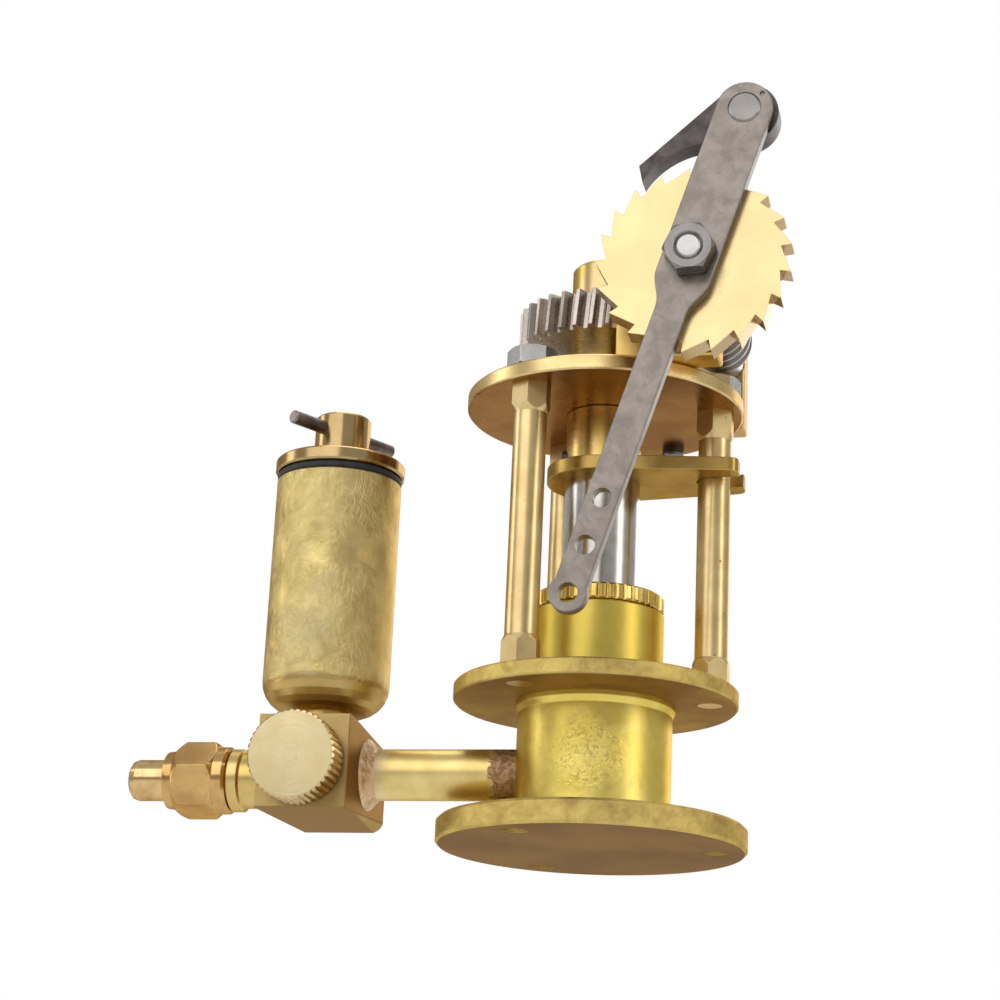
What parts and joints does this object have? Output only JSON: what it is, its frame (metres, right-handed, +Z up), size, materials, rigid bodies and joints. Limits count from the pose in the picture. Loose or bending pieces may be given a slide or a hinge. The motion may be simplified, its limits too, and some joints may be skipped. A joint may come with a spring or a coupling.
{
  "type": "ratchet mechanical lubricator",
  "caption": "Ratchet-driven oil pump for a live steam engine: lever and pawl turn a worm that screws a plunger into its barrel, fed from an oil cup, with a union outlet.",
  "frame": {"origin": "centre of the base flange's underside", "axes": "+Z up the pump's axis; -Y is the side of the ratchet, the lever and the valve knob; -X is the side of the oil outlet"},
  "size_m": [0.1083, 0.0603, 0.1131],
  "materials": {
    "polished_brass": "polished, slightly golden, fine turning marks",
    "turned_brass": "turned brass with fine rings, lightly tarnished",
    "sawn_brass": "milled brass block, faint cutter lines, brown tarnish at its corners",
    "cast_cup": "brass tube with a mottled, wrinkled, lightly tarnished skin",
    "drawn_brass": "drawn tube, heat-stained at its soldered ends",
    "silver_solder": "dull grey-white solder fillet, lumpy",
    "turned_steel": "bright turned steel with fine rings",
    "satin_steel": "satin flat bar, fine lengthwise grain",
    "cut_steel": "machined tooth flanks, slightly dark",
    "nut_steel": "plated hexagon nuts",
    "dark_steel": "blued steel",
    "black_seal": "matt black rubber",
    "graphite_packing": "braided graphite packing"
  },
  "bodies": {
    "frame": {"base_flange": "turned_brass", "pump_barrel": "turned_brass", "column_flange": "polished_brass", "top_plate": "polished_brass", "column_left": "turned_brass", "column_right": "turned_brass", "column_rear": "turned_brass", "column_nuts": "nut_steel", "front_bearing_block": "sawn_brass", "rear_bearing_block": "sawn_brass", "block_screws": "dark_steel", "gland_packing": "graphite_packing", "delivery_pipe": "drawn_brass", "pipe_solder": "silver_solder", "valve_block": "sawn_brass", "valve_gland": "turned_brass", "cup_foot": "sawn_brass", "oil_cup": "cast_cup", "union_nipple": "turned_brass"},
    "worm_shaft": {"worm_shaft": "turned_steel", "worm": "cut_steel", "ratchet_wheel": "polished_brass", "shaft_nut": "nut_steel", "shaft_collar": "turned_steel"},
    "worm_wheel": {"worm_wheel": "cut_steel", "drive_nut": "turned_brass", "thrust_collar": "turned_brass", "collar_screw": "dark_steel"},
    "plunger": {"plunger": "turned_steel", "feed_screw": "cut_steel", "guide_arm": "turned_brass"},
    "lever": {"lever": "satin_steel", "pawl_pin": "turned_steel"},
    "pawl": {"pawl": "dark_steel"},
    "gland_follower": {"gland_follower": "turned_brass"},
    "gland_nut": {"gland_nut": "polished_brass"},
    "valve_spindle": {"valve_spindle": "turned_steel"},
    "valve_knob": {"valve_knob": "polished_brass"},
    "cup_seal": {"cup_seal": "black_seal"},
    "cup_lid": {"cup_lid": "polished_brass", "tommy_bar": "dark_steel"},
    "union_tail": {"union_tail": "turned_brass"},
    "union_nut": {"union_nut": "polished_brass"}
  },
  "joints": [
    {"name": "worm_spin", "type": "hinge", "parent": "frame", "child": "worm_shaft", "pos_m": [0.0182, 0, 0.0843], "axis": [0, -1, 0], "range_deg": [0, 220321]},
    {"name": "wheel_spin", "type": "hinge", "parent": "frame", "child": "worm_wheel", "pos_m": [0, 0, 0.0843], "axis": [0, 0, 1], "range_deg": [0, 6480.1]},
    {"name": "plunger_slide", "type": "slide", "parent": "frame", "child": "plunger", "axis": [0, 0, 1], "range_m": [-0.018, 0]},
    {"name": "lever_swing", "type": "hinge", "parent": "frame", "child": "lever", "pos_m": [0.0182, -0.032, 0.0843], "axis": [0, -1, 0], "range_deg": [-34.29, 34.29]},
    {"name": "pawl_pivot", "type": "hinge", "parent": "lever", "child": "pawl", "pos_m": [0.02588, -0.029, 0.10809], "axis": [0, 1, 0], "range_deg": [-5, 60]},
    {"name": "gland_rise", "type": "slide", "parent": "frame", "child": "gland_follower", "axis": [0, 0, 1], "range_m": [0, 0.00075]},
    {"name": "gland_turn", "type": "hinge", "parent": "gland_follower", "child": "gland_nut", "pos_m": [0, 0, 0.0375], "axis": [0, 0, 1], "range_deg": [0, 360.1]},
    {"name": "spindle_rise", "type": "slide", "parent": "frame", "child": "valve_spindle", "axis": [0, -1, 0], "range_m": [0, 0.001]},
    {"name": "knob_turn", "type": "hinge", "parent": "valve_spindle", "child": "valve_knob", "pos_m": [-0.0435, -0.016, 0.0114], "axis": [0, -1, 0], "range_deg": [0, 720.1]},
    {"name": "lid_rise", "type": "slide", "parent": "frame", "child": "cup_seal", "axis": [0, 0, 1], "range_m": [0, 0.006]},
    {"name": "lid_turn", "type": "hinge", "parent": "cup_seal", "child": "cup_lid", "pos_m": [-0.044, 0, 0.0613], "axis": [0, 0, 1], "range_deg": [0, 2160.1]},
    {"name": "tail_draw", "type": "slide", "parent": "frame", "child": "union_tail", "axis": [-1, 0, 0], "range_m": [0, 0.004]},
    {"name": "union_turn", "type": "hinge", "parent": "union_tail", "child": "union_nut", "pos_m": [-0.064, 0, 0.0107], "axis": [-1, 0, 0], "range_deg": [0, 1440.1]}
  ],
  "couplings": [
    {"joint": "worm_spin", "follows": "plunger_slide", "rad_per_m": -213630},
    {"joint": "wheel_spin", "follows": "plunger_slide", "rad_per_m": -6283.2},
    {"joint": "gland_turn", "follows": "gland_rise", "rad_per_m": 8377.6},
    {"joint": "knob_turn", "follows": "spindle_rise", "rad_per_m": 12566},
    {"joint": "lid_turn", "follows": "lid_rise", "rad_per_m": 6283.2},
    {"joint": "union_turn", "follows": "tail_draw", "rad_per_m": 6283.2}
  ]
}
